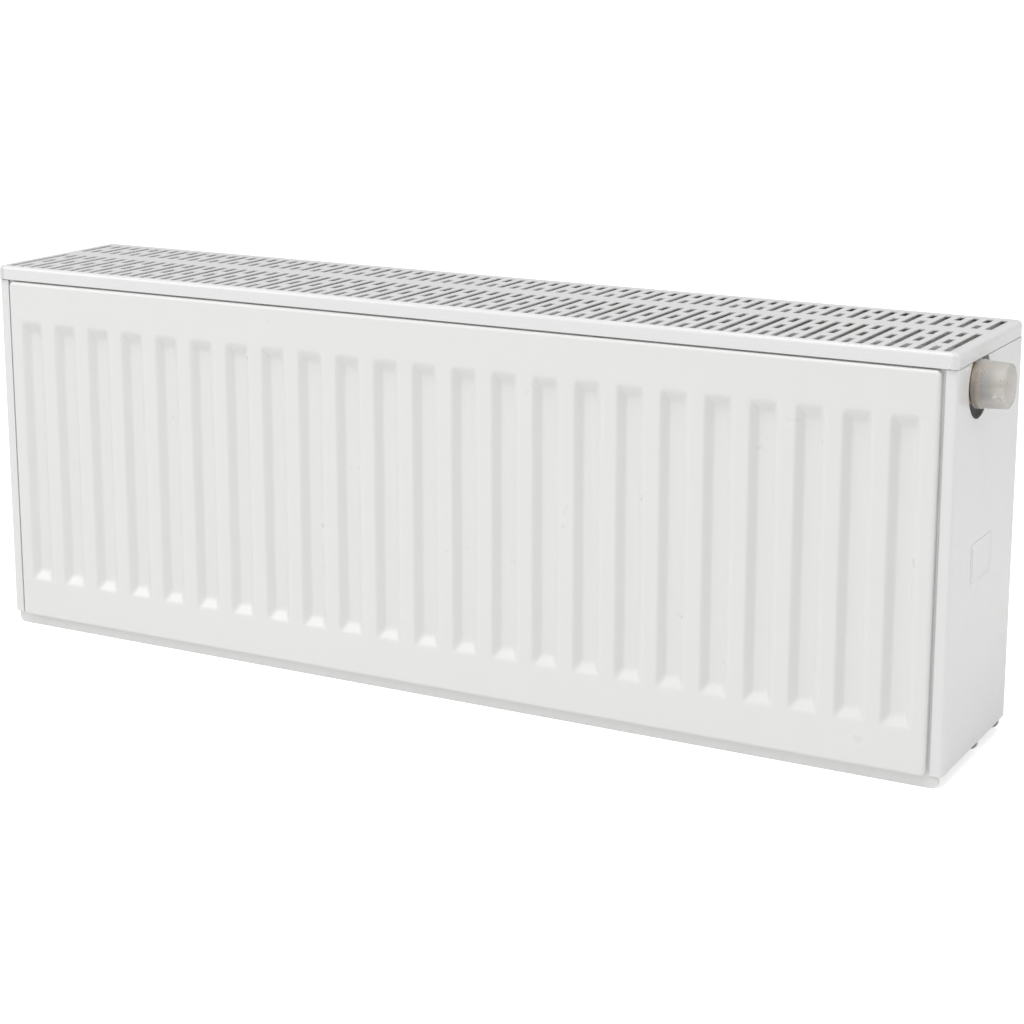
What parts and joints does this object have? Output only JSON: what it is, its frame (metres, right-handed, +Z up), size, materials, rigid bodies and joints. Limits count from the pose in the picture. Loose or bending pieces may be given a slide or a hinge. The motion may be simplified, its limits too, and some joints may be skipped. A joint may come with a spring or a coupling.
{
  "type": "panel radiator",
  "caption": "Steel panel radiator with convectors, slotted top grille, side covers, built-in thermostatic valve insert under a protective cap, air vent and bottom pipe connections.",
  "frame": {"origin": "middle of the bottom of the bounding box: the panels stand on z = 0 on their bottom edges", "axes": "+X along the radiator towards the valve, +Y towards the wall, +Z up"},
  "size_m": [0.821, 0.155, 0.3],
  "materials": {
    "panel_enamel": "white baked enamel, satin gloss",
    "casing_enamel": "white baked enamel, satin gloss",
    "nickel_plate": "nickel plated brass",
    "seal_rubber": "black EPDM rubber",
    "white_plastic": "white moulded plastic",
    "clip_plastic": "natural nylon",
    "valve_brass": "turned brass",
    "pin_steel": "stainless steel",
    "preset_plastic": "grey plastic",
    "cap_plastic": "translucent milky plastic"
  },
  "bodies": {
    "radiator": {"connection_bridge": "panel_enamel", "drain_tee": "panel_enamel", "front_convector": "panel_enamel", "front_panel_front_sheet": "panel_enamel", "front_panel_rear_sheet": "panel_enamel", "gland_o_ring": "seal_rubber", "left_blind_plug": "nickel_plate", "left_blind_plug_o_ring": "seal_rubber", "lower_left_hanging_lug": "panel_enamel", "lower_left_link_tube": "panel_enamel", "lower_right_hanging_lug": "panel_enamel", "lower_right_link_tube": "panel_enamel", "middle_convector": "panel_enamel", "middle_panel_front_sheet": "panel_enamel", "middle_panel_rear_sheet": "panel_enamel", "rear_convector": "panel_enamel", "rear_panel_front_sheet": "panel_enamel", "rear_panel_rear_sheet": "panel_enamel", "return_socket": "panel_enamel", "return_tee": "panel_enamel", "right_blind_plug": "nickel_plate", "right_blind_plug_o_ring": "seal_rubber", "riser_pipe": "panel_enamel", "supply_socket": "panel_enamel", "upper_left_hanging_lug": "panel_enamel", "upper_left_link_tube": "panel_enamel", "upper_right_hanging_lug": "panel_enamel", "upper_right_link_tube": "panel_enamel", "valve_gland": "valve_brass", "valve_housing": "panel_enamel", "valve_insert": "valve_brass", "valve_insert_o_ring": "seal_rubber", "vent_plug": "nickel_plate", "vent_plug_o_ring": "seal_rubber", "vent_tee": "panel_enamel"},
    "top_grille": {"top_grille": "casing_enamel", "grille_clips": "clip_plastic"},
    "right_cover": {"right_side_cover": "casing_enamel", "right_cover_clips": "clip_plastic"},
    "left_cover": {"left_side_cover": "casing_enamel", "left_cover_clips": "clip_plastic"},
    "valve_pin": {"valve_pin": "pin_steel", "valve_disc": "seal_rubber", "valve_spring": "pin_steel"},
    "protective_cap": {"protective_cap": "cap_plastic"},
    "preset_ring": {"preset_ring": "preset_plastic"},
    "vent_spout": {"vent_spout": "white_plastic"},
    "vent_screw": {"vent_screw": "nickel_plate"}
  },
  "joints": [
    {"name": "grille_lift", "type": "slide", "parent": "radiator", "child": "top_grille", "axis": [0, 0, 1], "range_m": [0, 0.06]},
    {"name": "right_cover_pull", "type": "slide", "parent": "radiator", "child": "right_cover", "axis": [1, 0, 0], "range_m": [0, 0.05]},
    {"name": "left_cover_pull", "type": "slide", "parent": "radiator", "child": "left_cover", "axis": [-1, 0, 0], "range_m": [0, 0.05]},
    {"name": "pin_slide", "type": "slide", "parent": "radiator", "child": "valve_pin", "axis": [1, 0, 0], "range_m": [-0.00226, 0]},
    {"name": "cap_turn", "type": "hinge", "parent": "valve_pin", "child": "protective_cap", "pos_m": [0.381, -0.0281, 0.27185], "axis": [1, 0, 0], "range_deg": [-540, 0]},
    {"name": "preset_turn", "type": "hinge", "parent": "radiator", "child": "preset_ring", "pos_m": [0.381, -0.0281, 0.27185], "axis": [1, 0, 0], "range_deg": [0, 300]},
    {"name": "vent_spout_swivel", "type": "hinge", "parent": "radiator", "child": "vent_spout", "pos_m": [-0.3985, -0.0281, 0.27185], "axis": [-1, 0, 0], "continuous": true},
    {"name": "vent_screw_turn", "type": "hinge", "parent": "radiator", "child": "vent_screw", "pos_m": [-0.3985, -0.0281, 0.27185], "axis": [-1, 0, 0], "range_deg": [0, 360]}
  ],
  "couplings": [
    {"joint": "pin_slide", "follows": "cap_turn", "m_per_rad": 0.00023873}
  ]
}
